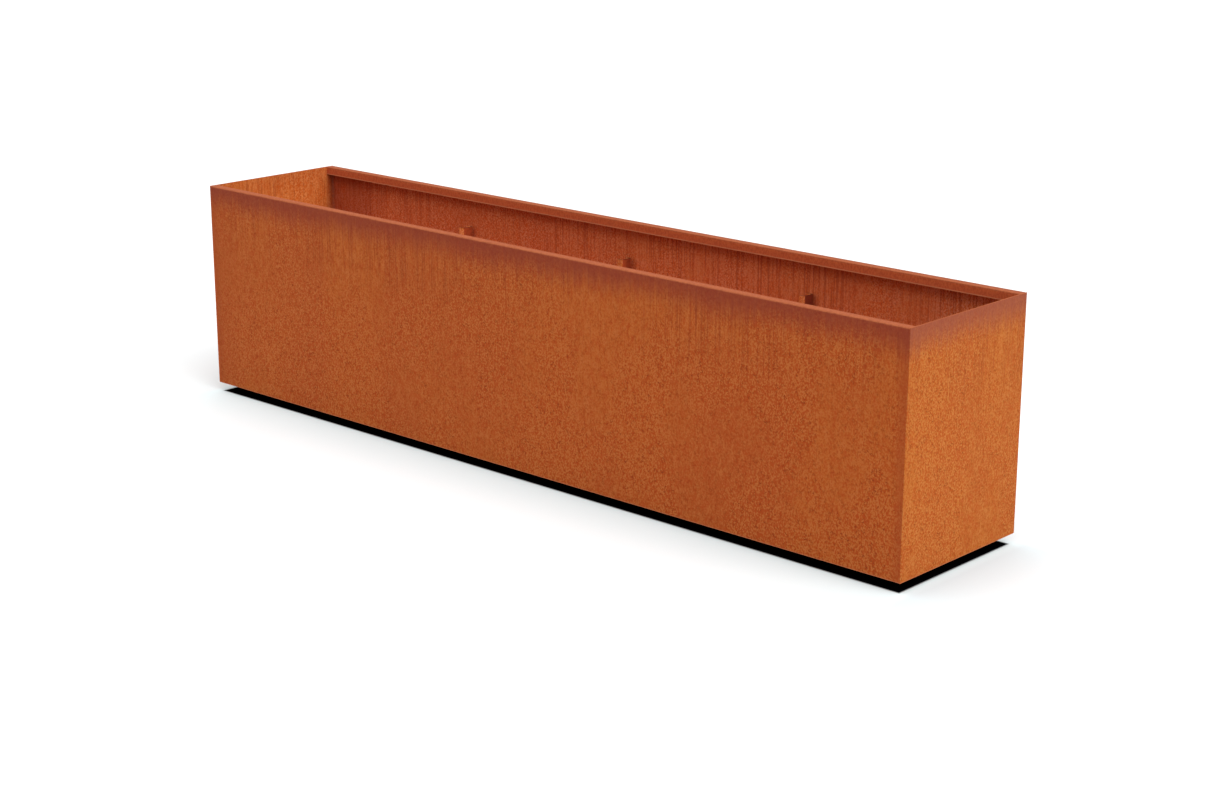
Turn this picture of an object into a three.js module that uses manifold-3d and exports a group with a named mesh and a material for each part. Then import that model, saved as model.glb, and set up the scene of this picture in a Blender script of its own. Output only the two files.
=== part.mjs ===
// A rectangular planter box of weathering steel, 96 x 18 x 24 in, standing on five low rails.
// Units are millimetres. +X runs along the box, -Y is its front and +Z is up.
// The origin is on the ground, under the middle of the box.

import * as THREE from 'three';
import { mergeVertices } from 'three/addons/utils/BufferGeometryUtils.js';
import Module from 'manifold-3d';

const wasm = await Module();
wasm.setup();

// Whole box
const INCH = 25.4;
const LENGTH = 96 * INCH;
const DEPTH = 18 * INCH;
const HEIGHT = 24 * INCH;
const GROUND_GAP = 1 * INCH;
const FIT_GAP = 0.3;

// Sheet metal
const SHEET = 2;
const BEND_RADIUS = 1;
const BEND_STEPS = 4;
const RIM_WIDTH = 24;
const RIM_LIP = 23;
const BASE_FLANGE = 30;
const FLANGE_RELIEF = 0.6;
const FLOOR_EDGE_GAP = 1.1;
const DRAIN_RADIUS = INCH / 2;
const DRAIN_ROW_Y = 100;

// Stiffening posts on the long walls, and the ties between them
const POST_PITCH = 24 * INCH;
const POST_TOP = HEIGHT - 4 * INCH;
const POST_WIDTH = 0.75 * INCH;
const POST_REACH = 34;
const POST_BACK_X = 0;
const TIE_HEIGHT = 400;
const TIE_WIDTH = 32;
const TIE_THICKNESS = 5;

// Rails under the floor
const RAIL_SHEET = 3;
const RAIL_BEND_RADIUS = 3;
const RAIL_CROWN = 50;
const RAIL_BRIM = 20;
const RAIL_INSET = 65;
const END_RAIL_X = 1100;
const RAIL_BOLT_Y = 130;

// M8 flanged bolts and nuts
const SHANK_RADIUS = 4;
const CLEARANCE_RADIUS = 4.5;
const HEX_ACROSS_FLATS = 13;
const HEAD_HEIGHT = 6;
const NUT_HEIGHT = 6.5;
const COLLAR_RADIUS = 9;
const COLLAR_HEIGHT = 1.6;
const BOLT_LENGTH = 16;
const ROD_STEPS = 16;
const HOLE_STEPS = 24;

// Corner welds
const WELD_LEG = 4;
const WELD_STEPS = 4;

// Levels and places that follow from the sizes above
const HALF_LENGTH = LENGTH / 2;
const HALF_DEPTH = DEPTH / 2;
const END_INNER_X = HALF_LENGTH - SHEET;
const WALL_INNER_Y = HALF_DEPTH - SHEET;
const FLOOR_BOTTOM = GROUND_GAP + SHEET + FIT_GAP;
const FLOOR_TOP = FLOOR_BOTTOM + SHEET;
const POST_BOTTOM = FLOOR_TOP + FIT_GAP;
const POST_HEIGHT = POST_TOP - POST_BOTTOM;
const POST_MIDDLE_Y = WALL_INNER_Y - POST_REACH / 2;
const POST_OPEN_X = POST_BACK_X - POST_WIDTH;
const RAIL_TOP = FLOOR_BOTTOM - FIT_GAP;
const RAIL_LENGTH = DEPTH - 2 * RAIL_INSET;

const STEEL = { color: 0xa8542a, roughness: 0.8, metalness: 0.2 };
const POST_STEEL = { color: 0x97421f, roughness: 0.85, metalness: 0.2 };
const WELD_STEEL = { color: 0x7c4128, roughness: 0.75, metalness: 0.3 };
const RAIL_STEEL = { color: 0x5d3020, roughness: 0.85, metalness: 0.2 };
const FASTENER_STEEL = { color: 0x8f8d88, roughness: 0.4, metalness: 0.9 };

const SIDES = [
  { name: 'front', sign: -1 },
  { name: 'rear', sign: 1 },
];
const ENDS = [
  { name: 'left', sign: -1 },
  { name: 'right', sign: 1 },
];
const POSTS = [
  { name: 'left', x: -POST_PITCH },
  { name: 'centre', x: 0 },
  { name: 'right', x: POST_PITCH },
];
const RAIL_XS = [-END_RAIL_X, -POST_PITCH, 0, POST_PITCH, END_RAIL_X];
const BAY_MIDDLES = [-1.5 * POST_PITCH, -0.5 * POST_PITCH, 0.5 * POST_PITCH, 1.5 * POST_PITCH];

// Joining and cutting of closed shapes

function toSolid(geometry) {
  const bare = geometry.clone();
  bare.deleteAttribute('normal');
  bare.deleteAttribute('uv');
  const merged = mergeVertices(bare, 1e-4);
  return new wasm.Manifold(new wasm.Mesh({
    numProp: 3,
    vertProperties: new Float32Array(merged.attributes.position.array),
    triVerts: new Uint32Array(merged.index.array),
  }));
}

function toGeometry(solid) {
  const mesh = solid.getMesh();
  const geometry = new THREE.BufferGeometry();
  geometry.setAttribute('position', new THREE.BufferAttribute(mesh.vertProperties, 3));
  geometry.setIndex(new THREE.BufferAttribute(mesh.triVerts, 1));
  geometry.computeVertexNormals();
  return geometry;
}

function cut(geometry, cutters) {
  let solid = toSolid(geometry);
  for (const cutter of cutters) {
    solid = solid.subtract(toSolid(cutter));
  }
  return toGeometry(solid);
}

function join(geometries) {
  let solid = toSolid(geometries[0]);
  for (const geometry of geometries.slice(1)) {
    solid = solid.add(toSolid(geometry));
  }
  return toGeometry(solid);
}

// Prisms: a flat outline pushed along one axis, centred on the origin along it

function prism(shape, length) {
  const geometry = new THREE.ExtrudeGeometry(shape, {
    depth: length,
    bevelEnabled: false,
    curveSegments: HOLE_STEPS / 2,
  });
  return geometry.translate(0, 0, -length / 2);
}

// The outline is drawn in Y and Z.
function prismAlongX(shape, length) {
  const axes = new THREE.Matrix4().makeBasis(
    new THREE.Vector3(0, 1, 0),
    new THREE.Vector3(0, 0, 1),
    new THREE.Vector3(1, 0, 0),
  );
  return prism(shape, length).applyMatrix4(axes);
}

// The outline is drawn in X and Z.
function prismAlongY(shape, length) {
  return prism(shape, length).rotateX(Math.PI / 2);
}

function rodAlongX(radius, length) {
  return new THREE.CylinderGeometry(radius, radius, length, ROD_STEPS).rotateZ(Math.PI / 2);
}

function rodAlongZ(radius, length) {
  return new THREE.CylinderGeometry(radius, radius, length, ROD_STEPS).rotateX(Math.PI / 2);
}

function roundHole(x, y, radius) {
  return new THREE.Path().absarc(x, y, radius, 0, 2 * Math.PI);
}

// Folded sheet: the outline of a sheet of even thickness bent along a middle line

function leftNormal(from, to) {
  const along = to.clone().sub(from).normalize();
  return new THREE.Vector2(-along.y, along.x);
}

// One bend at the corner between two straight runs. turn is 1 to the left and -1 to the right.
function bendAt(before, corner, after, radius) {
  const arriving = corner.clone().sub(before).normalize();
  const leaving = after.clone().sub(corner).normalize();
  const turn = Math.sign(arriving.cross(leaving));
  const half = Math.acos(arriving.dot(leaving)) / 2;
  const outward = leftNormal(before, corner).multiplyScalar(-turn);
  const outwardAfter = leftNormal(corner, after).multiplyScalar(-turn);
  const centre = corner.clone()
    .addScaledVector(arriving, -radius * Math.tan(half))
    .addScaledVector(outward, -radius);
  return { centre, radius, turn, startAngle: outward.angle(), endAngle: outwardAfter.angle() };
}

// The sheet's surface at a distance to the left of its middle line
function sheetSide(path, bends, offset) {
  const last = path.length - 1;
  const startNormal = leftNormal(path[0], path[1]);
  const endNormal = leftNormal(path[last - 1], path[last]);
  const points = [path[0].clone().addScaledVector(startNormal, offset)];
  for (const bend of bends) {
    const radius = bend.radius - bend.turn * offset;
    const arc = new THREE.ArcCurve(
      bend.centre.x, bend.centre.y, radius, bend.startAngle, bend.endAngle, bend.turn < 0,
    );
    points.push(...arc.getPoints(BEND_STEPS));
  }
  points.push(path[last].clone().addScaledVector(endNormal, offset));
  return points;
}

function foldedSheet(corners, thickness, innerRadius) {
  const path = corners.map(([x, y]) => new THREE.Vector2(x, y));
  const bends = [];
  for (let i = 1; i < path.length - 1; i += 1) {
    bends.push(bendAt(path[i - 1], path[i], path[i + 1], innerRadius + thickness / 2));
  }
  const left = sheetSide(path, bends, thickness / 2);
  const right = sheetSide(path, bends, -thickness / 2);
  return new THREE.Shape([...left, ...right.reverse()]);
}

// Shell

// A long wall: base flange, tall face, top flange turned inwards and a lip turned down
function longPanel(sign) {
  const faceY = HALF_DEPTH - SHEET / 2;
  const lipY = HALF_DEPTH - RIM_WIDTH + SHEET / 2;
  const flangeZ = GROUND_GAP + SHEET / 2;
  const rimZ = HEIGHT - SHEET / 2;
  const section = foldedSheet([
    [sign * (HALF_DEPTH - BASE_FLANGE), flangeZ],
    [sign * faceY, flangeZ],
    [sign * faceY, rimZ],
    [sign * lipY, rimZ],
    [sign * lipY, HEIGHT - RIM_LIP],
  ], SHEET, BEND_RADIUS);
  return prismAlongX(section, 2 * (END_INNER_X - FIT_GAP));
}

// An end wall covers the long walls' ends. Its base flange is notched to fit between theirs.
function endPanel(sign) {
  const faceX = HALF_LENGTH - SHEET / 2;
  const flangeZ = GROUND_GAP + SHEET / 2;
  const section = foldedSheet([
    [sign * (HALF_LENGTH - BASE_FLANGE), flangeZ],
    [sign * faceX, flangeZ],
    [sign * faceX, HEIGHT],
  ], SHEET, BEND_RADIUS);
  const notchWidth = BASE_FLANGE + FLANGE_RELIEF;
  const notches = SIDES.map((side) => {
    const notch = new THREE.BoxGeometry(BASE_FLANGE, 2 * notchWidth, BASE_FLANGE);
    return notch.translate(
      sign * (END_INNER_X - BASE_FLANGE / 2), side.sign * HALF_DEPTH, GROUND_GAP,
    );
  });
  return cut(prismAlongY(section, DEPTH), notches);
}

// The floor lies on the four base flanges. It has a bolt hole over each rail end and eight drains.
function floorPanel() {
  const halfX = END_INNER_X - FLOOR_EDGE_GAP;
  const halfY = WALL_INNER_Y - FLOOR_EDGE_GAP;
  const outline = new THREE.Shape();
  outline.moveTo(-halfX, -halfY);
  outline.lineTo(halfX, -halfY);
  outline.lineTo(halfX, halfY);
  outline.lineTo(-halfX, halfY);
  outline.closePath();
  for (const side of SIDES) {
    for (const x of RAIL_XS) {
      outline.holes.push(roundHole(x, side.sign * RAIL_BOLT_Y, CLEARANCE_RADIUS));
    }
    for (const x of BAY_MIDDLES) {
      outline.holes.push(roundHole(x, side.sign * DRAIN_ROW_Y, DRAIN_RADIUS));
    }
  }
  return prism(outline, SHEET);
}

// A fillet weld up an inside corner, drawn with the corner at the origin and the box along +X, +Y
function cornerWeld() {
  const reach = FIT_GAP + WELD_LEG;
  const face = new THREE.ArcCurve(reach, reach, WELD_LEG, -Math.PI / 2, -Math.PI, true);
  const outline = new THREE.Shape([
    new THREE.Vector2(FIT_GAP, FIT_GAP),
    ...face.getPoints(WELD_STEPS),
  ]);
  const bottom = FLOOR_TOP + FIT_GAP;
  const top = HEIGHT - SHEET - BEND_RADIUS - FIT_GAP;
  return prism(outline, top - bottom).translate(0, 0, (bottom + top) / 2);
}

// Posts and ties

// A post is a channel open to the left, with one flange on the wall and a bolt hole in its web.
function post(sign) {
  const webX = POST_BACK_X - SHEET / 2;
  const wallY = sign * (WALL_INNER_Y - FIT_GAP - SHEET / 2);
  const faceY = sign * (WALL_INNER_Y - POST_REACH + SHEET / 2);
  const section = foldedSheet([
    [POST_OPEN_X, wallY],
    [webX, wallY],
    [webX, faceY],
    [POST_OPEN_X, faceY],
  ], SHEET, BEND_RADIUS);
  const channel = prism(section, POST_HEIGHT).translate(0, 0, (POST_TOP + POST_BOTTOM) / 2);
  const drill = rodAlongX(CLEARANCE_RADIUS, 4 * SHEET);
  return cut(channel, [drill.translate(webX, sign * POST_MIDDLE_Y, TIE_HEIGHT)]);
}

// A tie is a flat bar on edge, with round ends about its two bolt holes.
function crossTie() {
  const outline = new THREE.Shape();
  outline.absarc(POST_MIDDLE_Y, 0, TIE_WIDTH / 2, -Math.PI / 2, Math.PI / 2);
  outline.absarc(-POST_MIDDLE_Y, 0, TIE_WIDTH / 2, Math.PI / 2, 1.5 * Math.PI);
  for (const side of SIDES) {
    outline.holes.push(roundHole(side.sign * POST_MIDDLE_Y, 0, CLEARANCE_RADIUS));
  }
  return prismAlongX(outline, TIE_THICKNESS);
}

// Rails

// A rail is a hat section standing on its two brims, with its crown under the floor.
function baseRail() {
  const legX = RAIL_CROWN / 2 - RAIL_SHEET / 2;
  const brimX = RAIL_CROWN / 2 + RAIL_BRIM;
  const brimZ = RAIL_SHEET / 2;
  const crownZ = RAIL_TOP - RAIL_SHEET / 2;
  const section = foldedSheet([
    [-brimX, brimZ],
    [-legX, brimZ],
    [-legX, crownZ],
    [legX, crownZ],
    [legX, brimZ],
    [brimX, brimZ],
  ], RAIL_SHEET, RAIL_BEND_RADIUS);
  const drills = SIDES.map((side) => {
    const drill = rodAlongZ(CLEARANCE_RADIUS, 4 * RAIL_SHEET);
    return drill.translate(0, side.sign * RAIL_BOLT_Y, crownZ);
  });
  return cut(prismAlongY(section, RAIL_LENGTH), drills);
}

// Fasteners: a bolt's head is above Z = 0 and its shank below, and a nut hangs below Z = 0

function hexPrism(height) {
  const cornerRadius = HEX_ACROSS_FLATS / Math.sqrt(3);
  return new THREE.CylinderGeometry(cornerRadius, cornerRadius, height, 6).rotateX(Math.PI / 2);
}

function collar() {
  return rodAlongZ(COLLAR_RADIUS, COLLAR_HEIGHT);
}

function bolt() {
  const shankMiddle = (COLLAR_HEIGHT - BOLT_LENGTH) / 2;
  return join([
    hexPrism(HEAD_HEIGHT).translate(0, 0, HEAD_HEIGHT / 2),
    collar().translate(0, 0, COLLAR_HEIGHT / 2),
    rodAlongZ(SHANK_RADIUS, BOLT_LENGTH + COLLAR_HEIGHT).translate(0, 0, shankMiddle),
  ]);
}

function nut() {
  const body = join([
    hexPrism(NUT_HEIGHT).translate(0, 0, -NUT_HEIGHT / 2),
    collar().translate(0, 0, -COLLAR_HEIGHT / 2),
  ]);
  return cut(body, [rodAlongZ(SHANK_RADIUS + FIT_GAP, 4 * NUT_HEIGHT)]);
}

// Assembly

const planter = new THREE.Group();

function addPiece(parent, name, geometry, finish) {
  const mesh = new THREE.Mesh(geometry, new THREE.MeshStandardMaterial(finish));
  mesh.name = name;
  parent.add(mesh);
  return mesh;
}

function addShell() {
  for (const side of SIDES) {
    addPiece(planter, `${side.name}_panel`, longPanel(side.sign), STEEL);
  }
  for (const end of ENDS) {
    addPiece(planter, `${end.name}_end_panel`, endPanel(end.sign), STEEL);
  }
  const floor = addPiece(planter, 'floor_panel', floorPanel(), STEEL);
  floor.position.z = (FLOOR_BOTTOM + FLOOR_TOP) / 2;
}

// Each weld is turned by quarter turns so that its corner faces the middle of the box.
function addCornerWelds() {
  const quarterTurns = { front_left: 0, front_right: 1, rear_right: 2, rear_left: 3 };
  for (const side of SIDES) {
    for (const end of ENDS) {
      const corner = `${side.name}_${end.name}`;
      const weld = addPiece(planter, `corner_weld_${corner}`, cornerWeld(), WELD_STEEL);
      weld.position.set(end.sign * END_INNER_X, side.sign * WALL_INNER_Y, 0);
      weld.rotation.z = quarterTurns[corner] * Math.PI / 2;
    }
  }
}

// A tie lies against the backs of a front post and a rear post, with a bolt through each end.
function addPostsAndTies() {
  const tieLeft = POST_BACK_X + FIT_GAP;
  const tieRight = tieLeft + TIE_THICKNESS;
  for (const place of POSTS) {
    const frame = new THREE.Group();
    frame.position.x = place.x;
    planter.add(frame);
    const tie = addPiece(frame, `cross_tie_${place.name}`, crossTie(), POST_STEEL);
    tie.position.set((tieLeft + tieRight) / 2, 0, TIE_HEIGHT);
    for (const side of SIDES) {
      const label = `${side.name}_${place.name}`;
      addPiece(frame, `post_${label}`, post(side.sign), POST_STEEL);
      const boltLine = new THREE.Group();
      boltLine.position.set(tieRight + FIT_GAP, side.sign * POST_MIDDLE_Y, TIE_HEIGHT);
      boltLine.rotation.y = Math.PI / 2;
      frame.add(boltLine);
      addPiece(boltLine, `tie_bolt_${label}`, bolt(), FASTENER_STEEL);
      const tieNut = addPiece(boltLine, `tie_nut_${label}`, nut(), FASTENER_STEEL);
      tieNut.position.z = -(TIE_THICKNESS + SHEET + 3 * FIT_GAP);
    }
  }
}

function addRails() {
  RAIL_XS.forEach((x, index) => {
    const rail = new THREE.Group();
    rail.position.x = x;
    planter.add(rail);
    addPiece(rail, `base_rail_${index + 1}`, baseRail(), RAIL_STEEL);
    for (const side of SIDES) {
      const label = `${side.name}_${index + 1}`;
      const railBolt = addPiece(rail, `rail_bolt_${label}`, bolt(), FASTENER_STEEL);
      railBolt.position.set(0, side.sign * RAIL_BOLT_Y, FLOOR_TOP + FIT_GAP);
      const railNut = addPiece(rail, `rail_nut_${label}`, nut(), FASTENER_STEEL);
      railNut.position.set(0, side.sign * RAIL_BOLT_Y, RAIL_TOP - RAIL_SHEET - FIT_GAP);
    }
  });
}

addShell();
addCornerWelds();
addPostsAndTies();
addRails();

export default planter;
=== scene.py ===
import math

import bmesh
import bpy
from mathutils import Matrix, Vector


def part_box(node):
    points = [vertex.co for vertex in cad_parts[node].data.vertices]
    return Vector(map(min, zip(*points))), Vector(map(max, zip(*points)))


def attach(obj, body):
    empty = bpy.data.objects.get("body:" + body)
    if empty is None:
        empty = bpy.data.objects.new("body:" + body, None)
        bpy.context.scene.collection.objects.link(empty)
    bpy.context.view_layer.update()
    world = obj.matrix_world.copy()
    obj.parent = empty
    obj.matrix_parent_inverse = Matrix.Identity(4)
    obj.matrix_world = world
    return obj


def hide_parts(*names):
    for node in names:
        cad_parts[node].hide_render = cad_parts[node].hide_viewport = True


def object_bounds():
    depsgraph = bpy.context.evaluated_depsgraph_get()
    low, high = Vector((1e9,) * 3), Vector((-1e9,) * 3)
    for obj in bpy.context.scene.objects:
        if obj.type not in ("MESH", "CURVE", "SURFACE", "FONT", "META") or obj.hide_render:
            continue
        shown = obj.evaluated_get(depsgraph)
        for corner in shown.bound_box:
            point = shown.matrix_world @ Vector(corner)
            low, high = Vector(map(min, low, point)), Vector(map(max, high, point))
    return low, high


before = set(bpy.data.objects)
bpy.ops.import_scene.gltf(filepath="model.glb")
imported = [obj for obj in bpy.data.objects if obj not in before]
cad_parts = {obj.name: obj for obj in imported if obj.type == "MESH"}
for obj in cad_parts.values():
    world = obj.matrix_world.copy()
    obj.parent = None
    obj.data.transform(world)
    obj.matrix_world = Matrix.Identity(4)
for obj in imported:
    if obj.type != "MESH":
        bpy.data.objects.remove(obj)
cad_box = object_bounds()

# Sizes of the real pieces that the boxes of the CAD nodes don't give, in metres
SHEET = 0.002
BEND_RADIUS = 0.001
EDGE_ROUND = 0.0004
LEAST_ROUND = 0.00002
SEAM_GAP = 0.00005
RIM_WIDTH = 0.024
RIM_LIP = 0.023
BASE_FLANGE = 0.030
FLANGE_RELIEF = 0.0006
POST_PITCH = 0.6096
DRAIN_RADIUS = 0.0127
DRAIN_ROW_Y = 0.100
BOLT_HOLE_RADIUS = 0.0045
FLOOR_CORNER = 0.002
RAIL_SHEET = 0.003
RAIL_BEND_RADIUS = 0.003
RAIL_CROWN = 0.050
RAIL_EDGE_ROUND = 0.0006
TIE_EDGE_ROUND = 0.0008
CORNER_WELD_LEG = 0.0046
STITCH_LEG = 0.0032
STITCH_LENGTH = 0.030
RIPPLE_PITCH = 0.0022

# How many stitch welds hold each piece
POST_STITCHES = 4
LONG_FLOOR_STITCHES = 12
END_FLOOR_STITCHES = 3

# How finely round shapes are divided
BEND_STEPS = 6
CORNER_STEPS = 4
HOLE_STEPS = 48
HEX_STEPS = 48
BEAD_STEPS = 6
STEPS_PER_RIPPLE = 4
STEPS_PER_THREAD = 8
SWEEP_SPACING = 0.1

SMOOTH_ANGLE = math.radians(38)

HALF_LENGTH, HALF_DEPTH, TOP = cad_box[1]
GROUND_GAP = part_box("front_panel")[0].z
FLOOR_LOW, FLOOR_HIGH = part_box("floor_panel")
END_INNER_X = HALF_LENGTH - SHEET
WALL_INNER_Y = HALF_DEPTH - SHEET
SIDES = {"front": -1, "rear": 1}
ENDS = {"left": -1, "right": 1}
PLACES = {"left": -POST_PITCH, "centre": 0.0, "right": POST_PITCH}
RAILS = [f"base_rail_{i}" for i in range(1, 6)]
RAIL_XS = [(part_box(name)[0].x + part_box(name)[1].x) / 2 for name in RAILS]
BAY_XS = [(i - 1.5) * POST_PITCH for i in range(4)]
POST_LOW, POST_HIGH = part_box("post_rear_centre")
POST_REACH = POST_HIGH.y - POST_LOW.y
POST_BACK_X = POST_HIGH.x
POST_TOP = POST_HIGH.z


# ---------------------------------------------------------------- shader nodes

class Shader:
    """A node material under construction, with one short call per node."""

    def __init__(self, name):
        self.material = bpy.data.materials.new(name)
        self.material.use_nodes = True
        self.tree = self.material.node_tree
        self.surface = self.tree.nodes["Principled BSDF"]
        self.place = self.tree.nodes.new("ShaderNodeTexCoord").outputs["Object"]

    def fill(self, socket, value):
        if isinstance(value, bpy.types.NodeSocket):
            self.tree.links.new(value, socket)
        else:
            socket.default_value = value

    def math(self, operation, a, b=0.0, c=0.0):
        made = self.tree.nodes.new("ShaderNodeMath")
        made.operation = operation
        for socket, value in zip(made.inputs, (a, b, c)):
            self.fill(socket, value)
        return made.outputs[0]

    def less(self, a, b):
        return self.math("SUBTRACT", a, b)

    def times(self, first, *others):
        for other in others:
            first = self.math("MULTIPLY", first, other)
        return first

    def axes(self):
        made = self.tree.nodes.new("ShaderNodeSeparateXYZ")
        self.fill(made.inputs[0], self.place)
        return made.outputs

    def below_top(self):
        """How far a point lies below the tops of the rims."""
        return self.less(TOP, self.axes()[2])

    def stretched(self, scale, shift):
        made = self.tree.nodes.new("ShaderNodeMapping")
        self.fill(made.inputs["Vector"], self.place)
        made.inputs["Scale"].default_value = scale
        made.inputs["Location"].default_value = shift
        return made.outputs[0]

    def noise(self, scale, stretch=(1, 1, 1), shift=(0, 0, 0), detail=3.0, roughness=0.55):
        made = self.tree.nodes.new("ShaderNodeTexNoise")
        self.fill(made.inputs["Vector"], self.stretched(stretch, shift))
        made.inputs["Scale"].default_value = scale
        made.inputs["Detail"].default_value = detail
        made.inputs["Roughness"].default_value = roughness
        return made.outputs[0]

    def between(self, value, start, end, to_start=0.0, to_end=1.0):
        """value eased from to_start, at start, to to_end, at end."""
        made = self.tree.nodes.new("ShaderNodeMapRange")
        made.interpolation_type = "SMOOTHSTEP"
        for name, given in (("Value", value), ("From Min", start), ("From Max", end),
                            ("To Min", to_start), ("To Max", to_end)):
            self.fill(made.inputs[name], given)
        return made.outputs[0]

    def mix(self, factor, a, b, blend="MIX"):
        made = self.tree.nodes.new("ShaderNodeMix")
        made.data_type = "RGBA"
        made.blend_type = blend
        for index, value in ((0, factor), (6, a), (7, b)):
            self.fill(made.inputs[index], (*value, 1) if isinstance(value, tuple) else value)
        return made.outputs[2]

    def shade(self, factor, tone, shift):
        """tone multiplied by shift, as far as factor says."""
        return self.mix(factor, tone, shift, "MULTIPLY")

    def bump(self, height, distance, strength):
        made = self.tree.nodes.new("ShaderNodeBump")
        made.inputs["Strength"].default_value = strength
        made.inputs["Distance"].default_value = distance
        self.fill(made.inputs["Height"], height)
        self.fill(self.surface.inputs["Normal"], made.outputs[0])

    def finish(self, colour, roughness, specular=0.5, metallic=0.0):
        self.fill(self.surface.inputs["Base Color"], colour)
        self.fill(self.surface.inputs["Roughness"], roughness)
        self.fill(self.surface.inputs["Metallic"], metallic)
        self.surface.inputs["Specular IOR Level"].default_value = specular
        return self.material


# ---------------------------------------------------------------- materials

# Linear colours. A SHIFT multiplies the tone that it changes
LONG_RUST = (0.343, 0.0700, 0.0081)
END_RUST = (0.357, 0.0885, 0.0094)
INNER_RUST_TONE = (0.575, 0.131, 0.0350)
INNER_END_RUST = (0.535, 0.142, 0.0235)
# Painted shade on the long walls' insides towards the left end, and painted light towards the right end
INNER_LEFT_SHADE_SHIFT = (0.68, 0.60, 0.66)
INNER_RIGHT_LIGHT_SHIFT = (1.05, 1.25, 1.45)
# Painted shadow on the long walls' insides just right of each post
POST_SHADOW_SHIFT = (0.52, 0.42, 0.50)
# Painted shadow below the ends of the rims, on the end walls' insides and on the welds there
RIM_SHADOW_SHIFT = (0.50, 0.32, 0.42)
POST_RUST = (0.630, 0.182, 0.0430)
# Painted light on the left posts and painted shade on the right ones
LEFT_POST_LIGHT_SHIFT = (1.28, 1.45, 1.45)
RIGHT_POST_SHADE_SHIFT = (0.98, 0.93, 0.90)
POST_TOP_SHIFT = (0.42, 0.34, 0.38)
# Painted shade on the posts' backs, and a deeper painted shade that mottled patches also take
POST_BACK_SHADE = (0.390, 0.068, 0.0175)
POST_BACK_DEEP_SHADE = (0.130, 0.014, 0.0045)
RAIL_RUST_TONE = (0.200, 0.042, 0.0100)
OCHRE_SHIFT = (1.14, 1.44, 2.30)
RED_SHIFT = (0.94, 0.64, 0.32)
DARK_SHIFT = (0.54, 0.40, 0.42)
DIM_DRIFT_SHIFT = (0.94, 0.86, 0.92)
PALE_DRIFT_SHIFT = (1.07, 1.18, 1.12)
STREAK_SHIFT = (1.15, 1.15, 1.15)
CORNER_SHIFT = (0.82, 0.66, 0.8)
LONG_MAUVE = (0.190, 0.0262, 0.0108)
END_MAUVE = (0.220, 0.0500, 0.0258)
RIM_TOP_TONE = (0.349, 0.0900, 0.0310)
RIM_TOP_SHIFT = (0.84, 0.80, 0.9)
REAR_RIM_SHIFT = (0.84, 0.82, 0.82)
RIM_LIP_TONE = (0.490, 0.101, 0.0290)
RIM_LIP_SHIFT = (0.82, 0.72, 0.8)
# Painted highlight along the walls' bottom edges and along the lips' hems
EDGE_HIGHLIGHT = (0.520, 0.170, 0.075)
WELD_DIM, WELD_PALE = (0.30, 0.062, 0.014), (0.44, 0.100, 0.022)
WELD_SCALE = (0.24, 0.052, 0.020)
ZINC_DIM, ZINC_PALE = (0.40, 0.40, 0.38), (0.56, 0.56, 0.54)
ZINC_GRIME = (0.19, 0.075, 0.028)

# Where those tones change, in metres: from the top, from the ends, or along X and Y
BAND_START, BAND_REACH = 0.006, 0.088
SWEEP_DEPTH, DRIP_DEPTH = 0.007, 0.009
STREAK_START, STREAK_REACH = 0.05, 0.30
RIM_SHADE_START, RIM_SHADE_REACH = 0.12, 0.26
RIM_SHADE_BEFORE, RIM_SHADE_PAST, RIM_SHADE_SLANT = 0.0015, 0.0025, 0.06
CORNER_START, CORNER_REACH, CORNER_RAGGED = -0.008, 0.022, 0.030
LEFT_START, LEFT_REACH = 0.02, 0.15
# Where that painted shade and painted light on the long walls' insides begin and end
INNER_LEFT_SHADE_FROM, INNER_LEFT_SHADE_TO = -0.94, -1.13
INNER_RIGHT_LIGHT_FROM, INNER_RIGHT_LIGHT_TO = 0.85, 1.15
REAR_RIM_FROM, REAR_RIM_TO = 0.211, 0.219
RIM_TOP_FROM, RIM_TOP_TO = 0.0046, 0.0014
# Where the painted highlights on the lips' hems and on the bottom edges begin and end
HEM_HIGHLIGHT_FROM, HEM_HIGHLIGHT_TO = 0.0036, 0.0020
BOTTOM_HIGHLIGHT_FROM, BOTTOM_HIGHLIGHT_TO = 0.0040, 0.0015
RAW_TOP_FROM, RAW_TOP_TO = 0.0012, 0.0004
LIP_FACE_SOFT = 0.0002
POST_SHADE_REACH, POST_SHADE_SOFT = 0.024, 0.001
POST_SHADE_ABOVE, POST_SHADE_BELOW = 0.006, 0.010

# How high the bumps of each surface stand, in metres
RUST_HEIGHT, WELD_HEIGHT, ZINC_HEIGHT = 0.0006, 0.0004, 0.0002


def shifted(colour, shift):
    return tuple(c * s for c, s in zip(colour, shift))


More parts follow.
